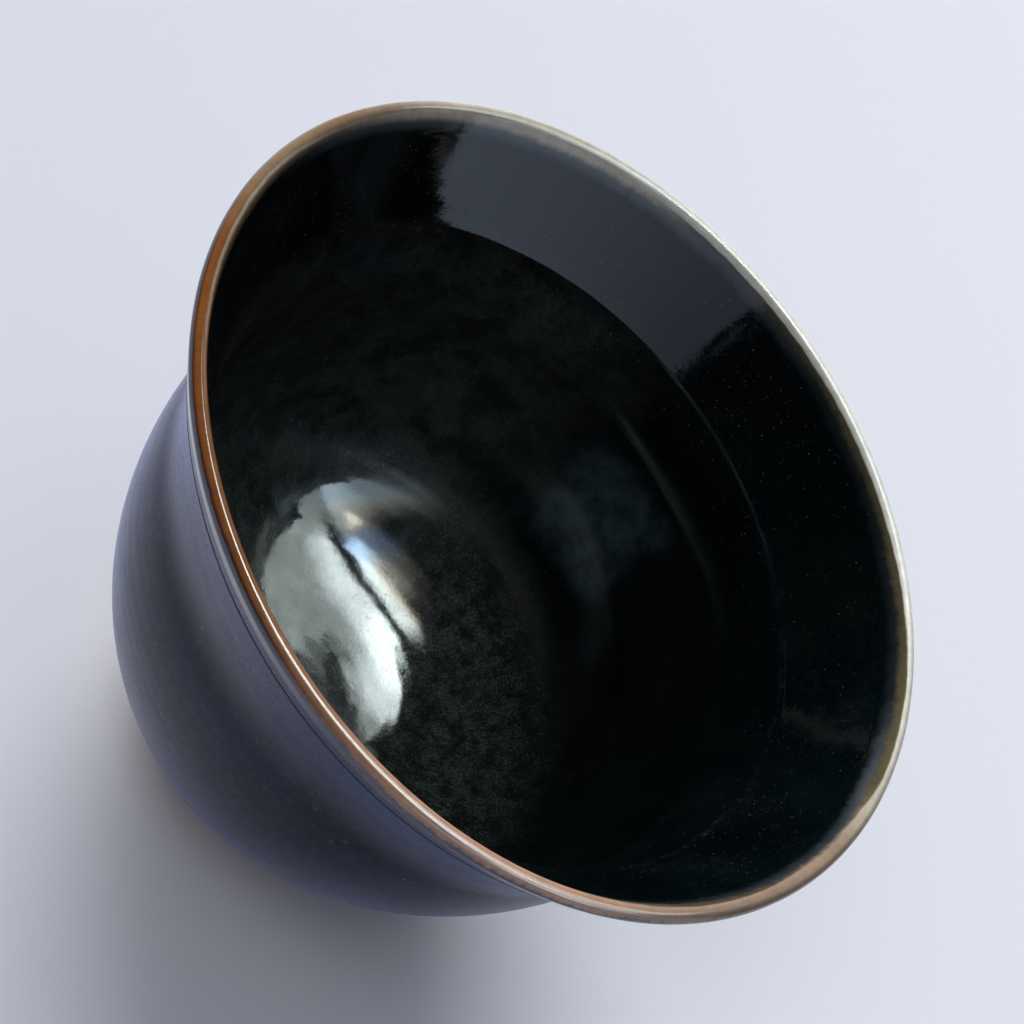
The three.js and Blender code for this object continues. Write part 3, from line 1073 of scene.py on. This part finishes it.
def clay_rows(skin, marks):
    """Rows of the clay's profile: underside, bevelled base, bare wall, then the face behind the coats."""
    shape = skin.shape
    along, theta = grids(core_rows(skin, 0, skin.end), shape.segments)
    radius, height = skin.behind(along, shape.glaze)
    radius[-1] = 0
    bare = np.clip(1 - along / skin.glaze_line(), 0, 1)
    turning = TURNING_DEPTH * np.sin(FULL_TURN * along / TURNING_PITCH + theta) * bare
    radius = radius + np.where(radius > 0, turning, 0)
    height[0] = shape.foot_height + shape.base_bevel
    low_radius, low_height, low_theta = underside(skin, float(radius[0].min()) - shape.base_bevel)
    radius = np.vstack([low_radius, radius])
    height = np.vstack([low_height, height])
    return settle(radius, height, np.vstack([low_theta, theta]), shape, marks)


class BOWL_OT_clay_body(bpy.types.Operator):
    """Throws the wall and floor of the bowl as one closed piece of clay"""

    bl_idname = "bowl.clay_body"
    bl_label = "Clay body"

    def execute(self, context):
        scene = context.scene
        skin = Skin(scene.bowl_shape)
        radius, height = clay_rows(skin, scene.bowl_marks)
        mesh = turned_mesh("thrown_clay_body", radius, height, closed=False)
        material = clay_material("Stoneware", scene.bowl_colours, 0.7)
        place_piece(mesh, material, "clay_body")
        return {"FINISHED"}


FOOT_SEGMENTS = 360
GROOVE_PITCH = 0.8 * MM
GROOVE_DEPTH = 0.035 * MM
GROUND_FADE = 1.2 * MM
BASE_FADE = 0.8 * MM
SIDE_SHARES = np.array([0, 0.12, 0.3, 0.5, 0.7, 0.88])


def cut_corners(points, times):
    """Rounds a closed outline: each corner is replaced by points a quarter along its two sides."""
    for _ in range(times):
        following = np.roll(points, -1, axis=0)
        near = 0.75 * points + 0.25 * following
        far = 0.25 * points + 0.75 * following
        points = np.stack([near, far], 1).reshape(-1, 2)
    return points


def filled(outline):
    """Adds points along the sides of a closed outline, so that only its corners are rounded."""
    following = np.roll(outline, -1, axis=0)
    shares = SIDE_SHARES[None, :, None]
    return (outline[:, None] * (1 - shares) + following[:, None] * shares).reshape(-1, 2)


def foot_outline(shape):
    """Outline of the foot ring's wall, narrower towards the ground, with worn edges."""
    outer, inner = shape.foot_radius, shape.foot_radius - shape.foot_width
    draw, bevel, top = shape.foot_taper, shape.foot_round, shape.foot_height
    corners = [
        (inner, top),
        (inner, top - bevel),
        (inner + draw, bevel),
        (inner + draw + bevel, 0),
        (outer - draw - bevel, 0),
        (outer - draw, bevel),
        (outer, top - bevel),
        (outer, top),
    ]
    return cut_corners(filled(np.array(corners)), 2)


class BOWL_OT_foot_ring(bpy.types.Operator):
    """Turns the foot ring with its worn standing face and fine turning lines"""

    bl_idname = "bowl.foot_ring"
    bl_label = "Foot ring"

    def execute(self, context):
        scene = context.scene
        shape = scene.bowl_shape
        outline = foot_outline(shape)
        radius, theta = grids(outline[:, 0], FOOT_SEGMENTS)
        height = np.repeat(outline[:, 1:], FOOT_SEGMENTS, axis=1)
        middle = shape.foot_radius - shape.foot_width / 2
        groove = GROOVE_DEPTH * np.sin(FULL_TURN * height / GROOVE_PITCH + theta) - GROOVE_DEPTH
        near_ground = np.clip(height / GROUND_FADE, 0, 1)
        near_base = np.clip((shape.foot_height - height) / BASE_FADE, 0, 1)
        radius = radius + np.sign(radius - middle) * groove * near_ground * near_base
        mesh = turned_mesh("turned_foot_ring", radius, height, closed=True)
        material = clay_material("Turned foot stoneware", scene.bowl_colours, 0.9)
        place_piece(mesh, material, "foot_ring")
        return {"FINISHED"}


FRONT_STEP = 0.7 * MM
ROLL_STEP = 0.12 * MM
LINE_STEP = 0.1 * MM
ROLL_ROWS = 2.4 * MM
ROLL_FADE = 2.6 * MM
LINE_FADE = 14 * MM
RELIEF_FADE = 3 * MM
BURR_BELOW = 0.55 * MM


def outer_rows(skin, line, last, incised, shoulder):
    """Distances of the outer glaze's rows, closer at the roll, the incised line and the shoulder."""
    roll_end = line + ROLL_ROWS
    return merged(
        spaced(line, roll_end, ROLL_STEP),
        spaced(roll_end, last, FRONT_STEP),
        incised + spaced(-0.9 * MM, 1.2 * MM, LINE_STEP),
        shoulder + spaced(-0.6 * MM, 1.2 * MM, ROLL_STEP),
    )


def roll_thickness(above, shape):
    """Thickness of the outer coat: a quarter ellipse up to the thick roll, easing off to the even coat."""
    arc = np.sqrt(np.clip(1 - np.clip(1 - above / shape.roll_width, 0, 1) ** 2, 0, 1))
    ease = np.exp(-np.clip(above - shape.roll_width, 0, None) / ROLL_FADE)
    return arc * (shape.glaze + (shape.roll_thickness - shape.glaze) * ease)


def outer_relief(along, theta, marks, incised, shoulder):
    """Relief outside: throwing rings, an incised line with a low burr below it, and the shoulder."""
    burr = 0.5 * hump(along, incised - BURR_BELOW, 2 * marks.line_width)
    cut = hump(along, incised, marks.line_width) - burr
    past = along - shoulder
    ledge = smooth_step(past / marks.shoulder_width) * np.exp(-np.clip(past, 0, None) / marks.shoulder_fade)
    return throwing_rings(along, theta, marks) - marks.line_cut * cut + marks.shoulder_height * ledge


def line_wander(theta):
    """How the glaze line wanders around the bowl: three sine waves, of 3, 7 and 16 to the turn."""
    return np.sin(3 * theta + 0.6) + 0.6 * np.sin(7 * theta + 2.0) + 0.35 * np.sin(16 * theta)


class BOWL_OT_outer_glaze(bpy.types.Operator):
    """Lays the slate glaze on the outside, from the uneven roll above the foot up to the lip coat"""

    bl_idname = "bowl.outer_glaze"
    bl_label = "Outer glaze"

    def execute(self, context):
        scene = context.scene
        shape, marks = scene.bowl_shape, scene.bowl_marks
        skin = Skin(shape)
        line, last = skin.glaze_line(), skin.coat_edges()[0]
        incised = skin.outside_at(skin.lip_centre[1] - marks.line_depth)
        shoulder = skin.outside_at(skin.lip_centre[1] - marks.shoulder_depth)
        along, theta = grids(outer_rows(skin, line, last, incised, shoulder), shape.segments)
        above = along - line
        shift = marks.glaze_line_wave * line_wander(theta) * np.clip(1 - above / LINE_FADE, 0, 1) ** 2
        radius, height = skin.behind(along + shift, shape.glaze)
        out, up = skin.normal_at(along + shift)
        fading = np.clip(above / RELIEF_FADE, 0, 1) * np.clip((last - along) / EDGE_FADE, 0, 1)
        relief = outer_relief(along, theta, marks, incised, shoulder) * fading
        thick = roll_thickness(above, shape) + relief
        front = (along, theta, radius + thick * out, height + thick * up)
        mesh = coat_mesh("slate_outer_glaze", skin, marks, front, line + WALL_STEP, last)
        place_piece(mesh, outer_material(scene.bowl_colours), "outer_glaze")
        return {"FINISHED"}


RING_SHARE = 0.8
FLARE_RING_SHARE = 0.15
FLARE_CALM = 4 * MM
WELL_CALM = 8 * MM


class BOWL_OT_inner_glaze(bpy.types.Operator):
    """Lays the black glaze inside, from the lip coat down to the middle of the floor"""

    bl_idname = "bowl.inner_glaze"
    bl_label = "Inner glaze"

    def execute(self, context):
        scene = context.scene
        shape, marks = scene.bowl_shape, scene.bowl_marks
        skin = Skin(shape)
        ridge = skin.lip_centre[1] - shape.ridge_depth

        def relief(along, theta, height):
            radius, _ = skin.at(along)
            calmer = (RING_SHARE - FLARE_RING_SHARE) * smooth_step((height - ridge) / FLARE_CALM)
            strength = (RING_SHARE - calmer) * np.clip(radius / WELL_CALM, 0, 1)
            below = (height < skin.belly_height).astype(float)
            well = marks.well_height * hump(radius, marks.well_radius, marks.well_width) * below
            return strength * throwing_rings(along, theta, marks) + well

        first = skin.coat_edges()[1]
        mesh = even_coat("black_inner_glaze", skin, marks, first, skin.end, FRONT_STEP, relief)
        place_piece(mesh, inner_material(scene.bowl_colours), "inner_glaze")
        return {"FINISHED"}


LIP_FRONT_STEP = 0.16 * MM
LUMP_DEPTH = 0.012 * MM


class BOWL_OT_lip_glaze(bpy.types.Operator):
    """Lays the thin brown coat over the lip"""

    bl_idname = "bowl.lip_glaze"
    bl_label = "Lip glaze"

    def execute(self, context):
        scene = context.scene
        skin = Skin(scene.bowl_shape)

        def relief(along, theta, height):
            slanting = np.sin(23 * theta + along / (0.9 * MM))
            lumps = np.sin(11 * theta + 0.7) + slanting + np.sin(41 * theta)
            return -LUMP_DEPTH * (3 + lumps) / 3

        first, last = skin.coat_edges()
        mesh = even_coat("brown_lip_glaze", skin, scene.bowl_marks, first, last, LIP_FRONT_STEP, relief)
        place_piece(mesh, lip_material(scene.bowl_colours), "lip_glaze")
        return {"FINISHED"}


# Stage


def stage_object(mesh, material):
    """Puts a mesh into the scene as part of the stage."""
    mesh.materials.append(material)
    thing = bpy.data.objects.new(mesh.name, mesh)
    bpy.context.scene.collection.objects.link(thing)
    return thing


def grid_mesh(name, points):
    """Mesh of quads from an array of points, rows by columns by three."""
    rows, columns, _ = points.shape
    index = np.arange(rows * columns).reshape(rows, columns)
    quads = np.stack([index[:-1, :-1], index[:-1, 1:], index[1:, 1:], index[1:, :-1]], -1).reshape(-1, 4)
    mesh = bpy.data.meshes.new(name)
    mesh.from_pydata(points.reshape(-1, 3), [], quads)
    mesh.update()
    return mesh


FLOOR_RADIUS = 4.0
CEILING_SPAN = (-1.4, 1.5)


def make_floor(look):
    """Level floor: a disc of rings at height 0 around the bowl, with painted light that makes it paler
    towards one side.
    """
    rings = np.linspace(0, FLOOR_RADIUS, 12)
    spokes = np.linspace(0, FULL_TURN, 97)
    radius, theta = np.meshgrid(rings, spokes, indexing="ij")
    points = np.stack([radius * np.cos(theta), radius * np.sin(theta), 0 * radius], -1)
    material, tree, shader = new_material("Pale floor", 0.7, 1.4)
    x, y, _ = tree.parts(tree.place())
    # Painted light: a soft blend to the lighter floor colour towards one side.
    away = tree.plus(tree.product(x, 0.704), tree.product(y, 0.71))
    faint = tree.product(tree.noise(tree.place(), 9, 3), 0.06)
    base = tree.blend(tree.plus(tree.step(away, -0.25, 0.32), faint), look.floor_colour, look.floor_painted_light)
    tree.feed(shader.inputs["Base Color"], base)
    shader.inputs["Specular IOR Level"].default_value = 0.15
    stage_object(grid_mesh("pale_floor", points), material)


def hide_from_all_but_gloss(thing):
    """Leaves a thing to be seen in glossy reflections alone."""
    thing.visible_camera = False
    thing.visible_diffuse = False
    thing.visible_shadow = False
    thing.visible_transmission = False


def curtain_points(radius):
    """A band of a sphere, from 3 degrees below the floor to 50 above it, all the way around."""
    rise = np.linspace(math.radians(-3), math.radians(50), 24)[:, None]
    azimuth = np.linspace(0, FULL_TURN, 145)[None, :]
    x = radius * np.cos(rise) * np.sin(azimuth)
    y = -radius * np.cos(rise) * np.cos(azimuth)
    return np.stack([x, y, radius * np.sin(rise) + 0 * azimuth], -1)


def make_curtain(look):
    """Dark curtain low around the bowl, with an opening to one side, leafy at both ends.

    Half the opening lies behind a thin veil, which grows denser towards the front.
    """
    material, tree, shader = new_material("Dark curtain", 0.9, 1.3)
    place = tree.place()
    x, y, _ = tree.parts(place)
    cosine, sine = math.cos(look.opening_middle), math.sin(look.opening_middle)
    across = tree.plus(tree.product(x, cosine), tree.product(y, sine))
    along = tree.minus(tree.product(x, sine), tree.product(y, cosine))
    turn = tree.math("ARCTAN2", across, along)
    edge = tree.plus(tree.math("ABSOLUTE", turn), tree.drift(place, 13, 8, 0.72, reach=0.36))
    half = look.opening_half
    veil = tree.product(tree.fade(turn, -half, 0.6 * half), 0.5)
    shade = tree.blend(tree.noise(place, 4, 2), (0.002, 0.0025, 0.003), (0.008, 0.01, 0.013))
    closed = tree.step(edge, half - 0.012, half + 0.012)
    tree.feed(shader.inputs["Base Color"], shade)
    tree.feed(shader.inputs["Alpha"], tree.math("MAXIMUM", closed, veil))
    shader.inputs["Specular IOR Level"].default_value = 0.0
    points = curtain_points(look.curtain_radius)
    hide_from_all_but_gloss(stage_object(grid_mesh("dark_curtain", points), material))


def window_panes(tree, place, x, y):
    """The window: a pane with a brighter edge and a band along its foot, and a dark, ragged corner."""
    rising = tree.minus(tree.product(y, 1.325), tree.product(y, y, 1.19))
    from_left = tree.plus(x, tree.minus(rising, 0.055))
    inside = tree.product(tree.step(from_left, -0.03, 0.03), tree.step(y, 0.09, 0.14))
    far = tree.minus(x, tree.product(y, 0.8))
    pane = tree.product(inside, tree.fade(y, 0.85, 1.1), tree.fade(far, 0.42, 0.85), 4.0)
    edge = tree.product(inside, tree.fade(from_left, 0.12, 0.34), tree.fade(y, 0.46, 0.62), 9.5)
    falling = tree.plus(y, tree.product(x, 0.1))
    band = tree.product(inside, tree.fade(falling, 0.22, 0.42), tree.fade(x, 0.5, 0.7), 9.5)
    ragged = tree.drift(place, 11, 6, 0.7, reach=0.3)
    slant = tree.plus(y, tree.product(x, 0.8), ragged)
    corner = tree.product(tree.step(slant, 0.45, 0.56), tree.fade(tree.plus(x, ragged), 0.0, 0.1))
    mottle = tree.between(tree.noise(place, 19, 6, 0.75), 0.3, 1.7)
    return tree.product(tree.plus(pane, edge, band), tree.between(corner, 1.0, 0.06), mottle)


def window_sill(tree, x, y):
    """The bright sill below the panes and a small bright corner beside it."""
    sill = tree.product(tree.strip(y, -0.15, -0.02, 0.01, 0.05), tree.strip(x, -0.16, -0.02, 0.4, 0.56))
    corner = tree.product(tree.strip(x, 0.56, 0.62, 0.68, 0.8), tree.strip(y, -0.19, -0.13, -0.1, -0.05))
    return tree.plus(tree.product(sill, 16.0), tree.product(corner, 8.0))


def window_haze(tree, x, y):
    """Soft glows below the sill and to one side, over a faint even light."""
    under = tree.step(y, -0.5, -0.05)
    glow = tree.product(under, under, tree.fade(y, -0.02, 0.06), tree.step(x, -0.05, 0.25), 4.2)
    side = tree.product(tree.strip(x, 0.55, 0.95, 1.15, 1.5), tree.fade(y, 0.1, 0.8), 3.0)
    return tree.plus(glow, side, 0.02)


def window_tint(tree, x, y):
    """Colour of the window's light: greenish white, blue in two places and warm below."""
    blue = tree.product(tree.fade(y, 0.02, 0.12), tree.strip(x, 0.2, 0.42, 0.5, 0.6))
    side_blue = tree.product(tree.step(x, 0.85, 1.0), tree.fade(y, 0.0, 0.2), 0.6)
    blue = tree.math("MAXIMUM", blue, side_blue)
    warm = tree.product(tree.fade(y, -0.1, 0.0), tree.fade(x, 0.6, 0.9), 0.8)
    tint = tree.blend(blue, (0.86, 1.0, 0.98), (0.5, 0.72, 1.0))
    return tree.blend(tree.math("SUBTRACT", warm, blue, clamp=True), tint, (1.0, 0.93, 0.75))


def window_glow(tree, height):
    """Radiance and tint of the ceiling's window.

    Every part is a product of smooth steps across the slopes x / height and y / height, which noise bends.
    """
    place = tree.place()
    inputs = {0: place, 1: (1 / height,) * 3}
    slopes = tree.add("ShaderNodeVectorMath", inputs, operation="MULTIPLY").outputs[0]
    x, y, _ = tree.parts(slopes)
    bend = tree.drift(place, 5, 5, 0.65, reach=0.1)
    x = tree.plus(x, bend)
    y = tree.plus(y, bend)
    clouds = tree.between(tree.noise(place, 4.5, 5, 0.65), 0.5, 1.5)
    bright = tree.product(tree.plus(window_panes(tree, place, x, y), window_sill(tree, x, y)), clouds)
    return tree.plus(bright, window_haze(tree, x, y)), window_tint(tree, x, y)


def few_turns(tree):
    """1 for a ray that gloss has turned once, little for one turned twice, 0 for one turned three times."""
    return tree.fade(tree.add("ShaderNodeLightPath").outputs["Glossy Depth"], 1.0, 2.4)


def make_ceiling(look):
    """Dark ceiling with a soft window in it, seen in glossy reflections only; its span is in heights."""
    height = look.window_height
    low, high = CEILING_SPAN
    points = np.array([[(low, low, 1), (high, low, 1)], [(low, high, 1), (high, high, 1)]]) * height
    material = bpy.data.materials.new("Window light")
    material.use_nodes = True
    tree = Tree(material.node_tree)
    material.node_tree.nodes.remove(material.node_tree.nodes["Principled BSDF"])
    glow, tint = window_glow(tree, height)
    strength = tree.product(glow, few_turns(tree), look.window_radiance)
    light = tree.add("ShaderNodeEmission", {"Color": tint, "Strength": strength})
    tree.feed(material.node_tree.nodes["Material Output"].inputs["Surface"], light.outputs[0])
    hide_from_all_but_gloss(stage_object(grid_mesh("window_ceiling", points), material))


def make_lamp(look, name, floor_share, azimuth, rise, spread):
    """Soft square lamp that lights floor and clay but is not mirrored: the window makes the highlights.

    floor_share is what it adds to the floor's light, spread is half its side as a share of its distance.
    """
    turn, lift = math.radians(azimuth), math.radians(rise)
    toward = Vector((math.sin(turn) * math.cos(lift), -math.cos(turn) * math.cos(lift), math.sin(lift)))
    data = bpy.data.lights.new(name, "AREA")
    data.shape = "SQUARE"
    data.size = 2 * spread * look.lamp_distance
    radiance = floor_share * math.pi / (4 * spread**2 * math.sin(lift))
    data.energy = radiance * math.pi * data.size**2
    lamp = bpy.data.objects.new(name, data)
    lamp.location = toward * look.lamp_distance
    lamp.rotation_euler = toward.to_track_quat("Z", "Y").to_euler()
    lamp.visible_camera = False
    lamp.visible_glossy = False
    bpy.context.scene.collection.objects.link(lamp)


def make_world(look):
    """Even pale surroundings, brighter where they are seen or mirrored than as light."""
    world = bpy.data.worlds.new("Surroundings")
    bpy.context.scene.world = world
    world.use_nodes = True
    tree = Tree(world.node_tree)
    rays = tree.add("ShaderNodeLightPath").outputs
    mirrored = tree.product(rays["Is Glossy Ray"], few_turns(tree))
    seen = tree.math("MAXIMUM", rays["Is Camera Ray"], mirrored)
    seen = tree.math("MAXIMUM", seen, rays["Is Transmission Ray"])
    background = world.node_tree.nodes["Background"]
    tone = tree.blend(rays["Is Glossy Ray"], look.sky_colour, look.mirrored_colour)
    tree.feed(background.inputs["Color"], tone)
    tree.feed(background.inputs["Strength"], tree.between(seen, look.ambient, 1.0))


VIEW_CENTRE = Vector((-2.881, -15.009, 86.8)) * MM


def make_camera(look):
    """Camera at the photographed angle: it looks at a point near the lip's plane, turned about its view."""
    data = bpy.data.cameras.new("Camera")
    data.sensor_width = 36
    data.lens = look.lens
    camera = bpy.data.objects.new("Camera", data)
    position = Vector((0, -look.camera_back, look.camera_height))
    facing = (VIEW_CENTRE - position).to_track_quat("-Z", "Y").to_matrix()
    turn = facing @ Matrix.Rotation(look.roll, 3, "Z")
    camera.matrix_world = Matrix.Translation(position) @ turn.to_4x4()
    bpy.context.scene.collection.objects.link(camera)
    bpy.context.scene.camera = camera


class BOWL_OT_stage(bpy.types.Operator):
    """Sets the pale floor, the dark curtain, the soft lamps, the surroundings and the camera"""

    bl_idname = "bowl.stage"
    bl_label = "Stage"

    def execute(self, context):
        scene = context.scene
        look = scene.bowl_stage
        make_floor(look)
        make_curtain(look)
        make_ceiling(look)
        make_lamp(look, "Soft key", look.key_share, azimuth=232, rise=24, spread=0.38)
        make_lamp(look, "Soft fill", look.fill_share, azimuth=330, rise=55, spread=0.25)
        make_lamp(look, "Soft top", look.top_share, azimuth=225, rise=75, spread=0.2)
        make_world(look)
        make_camera(look)
        scene.view_settings.view_transform = "Standard"
        return {"FINISHED"}


class BOWL_PT_panel(bpy.types.Panel):
    """Lists the pieces of the bowl and its stage"""

    bl_idname = "BOWL_PT_panel"
    bl_label = "Stoneware bowl"
    bl_space_type = "VIEW_3D"
    bl_region_type = "UI"
    bl_category = "Bowl"

    def draw(self, context):
        for operator in OPERATORS:
            self.layout.operator(operator.bl_idname)
        for group in GROUPS:
            box = self.layout.box()
            settings = getattr(context.scene, group)
            for name in type(settings).__annotations__:
                box.prop(settings, name)


GROUPS = {
    "bowl_shape": BowlShape,
    "bowl_marks": ThrowingMarks,
    "bowl_colours": GlazeColours,
    "bowl_stage": StageLook,
}
OPERATORS = (
    BOWL_OT_clay_body,
    BOWL_OT_foot_ring,
    BOWL_OT_outer_glaze,
    BOWL_OT_inner_glaze,
    BOWL_OT_lip_glaze,
    BOWL_OT_stage,
)


def register():
    """Registers the classes and the settings that the scene holds."""
    for cls in (*GROUPS.values(), *OPERATORS, BOWL_PT_panel):
        bpy.utils.register_class(cls)
    for name, group in GROUPS.items():
        setattr(bpy.types.Scene, name, PointerProperty(type=group))


def unregister():
    """Takes them out again."""
    for name in GROUPS:
        delattr(bpy.types.Scene, name)
    for cls in (BOWL_PT_panel, *reversed(OPERATORS), *GROUPS.values()):
        bpy.utils.unregister_class(cls)


def main():
    """Builds every piece and the stage."""
    register()
    bpy.ops.bowl.stage()
    bpy.ops.bowl.clay_body()
    bpy.ops.bowl.foot_ring()
    bpy.ops.bowl.outer_glaze()
    bpy.ops.bowl.inner_glaze()
    bpy.ops.bowl.lip_glaze()


if __name__ == "__main__":
    main()
